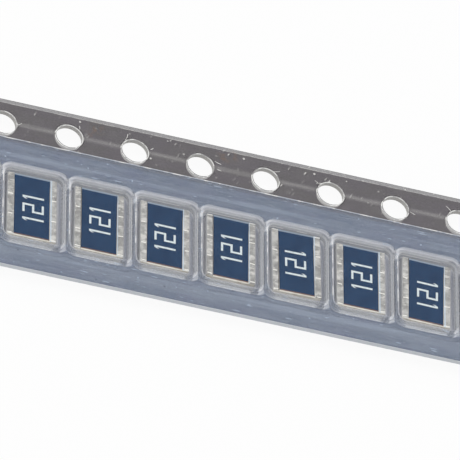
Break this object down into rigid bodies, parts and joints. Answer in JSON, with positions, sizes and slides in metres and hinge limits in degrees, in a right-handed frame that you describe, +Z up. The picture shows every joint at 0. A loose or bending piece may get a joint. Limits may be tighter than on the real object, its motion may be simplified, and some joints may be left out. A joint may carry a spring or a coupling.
{
  "type": "component carrier tape strip",
  "caption": "Straight strip of smoky embossed carrier tape with sprocket holes along one edge and a chip resistor in each pocket under a clear, heat-sealed cover film.",
  "frame": {"origin": "centre of the strip's length and width, at the underside of the pocket floors that it rests on", "axes": "+X along the tape, +Y towards the edge with the sprocket holes, +Z up through the cover film"},
  "size_m": [0.036, 0.012, 0.001],
  "materials": {
    "carrier_plastic": "smoky translucent antistatic sheet, drawn thinner and paler at the pockets",
    "cover_film": "clear, slightly blue film with faint lengthwise seal tracks",
    "alumina": "white sintered ceramic, satin",
    "blue_coat": "dark blue protective coat with white printed digits",
    "tin": "dull plated tin"
  },
  "bodies": {
    "root": {"carrier_tape": "carrier_plastic", "cover_film": "cover_film", "chip1_substrate": "alumina", "chip1_overcoat": "blue_coat", "chip1_terminal_left": "tin", "chip1_terminal_right": "tin", "chip2_substrate": "alumina", "chip2_overcoat": "blue_coat", "chip2_terminal_left": "tin", "chip2_terminal_right": "tin", "chip3_substrate": "alumina", "chip3_overcoat": "blue_coat", "chip3_terminal_left": "tin", "chip3_terminal_right": "tin", "chip4_substrate": "alumina", "chip4_overcoat": "blue_coat", "chip4_terminal_left": "tin", "chip4_terminal_right": "tin", "chip5_substrate": "alumina", "chip5_overcoat": "blue_coat", "chip5_terminal_left": "tin", "chip5_terminal_right": "tin", "chip6_substrate": "alumina", "chip6_overcoat": "blue_coat", "chip6_terminal_left": "tin", "chip6_terminal_right": "tin", "chip7_substrate": "alumina", "chip7_overcoat": "blue_coat", "chip7_terminal_left": "tin", "chip7_terminal_right": "tin", "chip8_substrate": "alumina", "chip8_overcoat": "blue_coat", "chip8_terminal_left": "tin", "chip8_terminal_right": "tin", "chip9_substrate": "alumina", "chip9_overcoat": "blue_coat", "chip9_terminal_left": "tin", "chip9_terminal_right": "tin"}
  },
  "joints": []
}
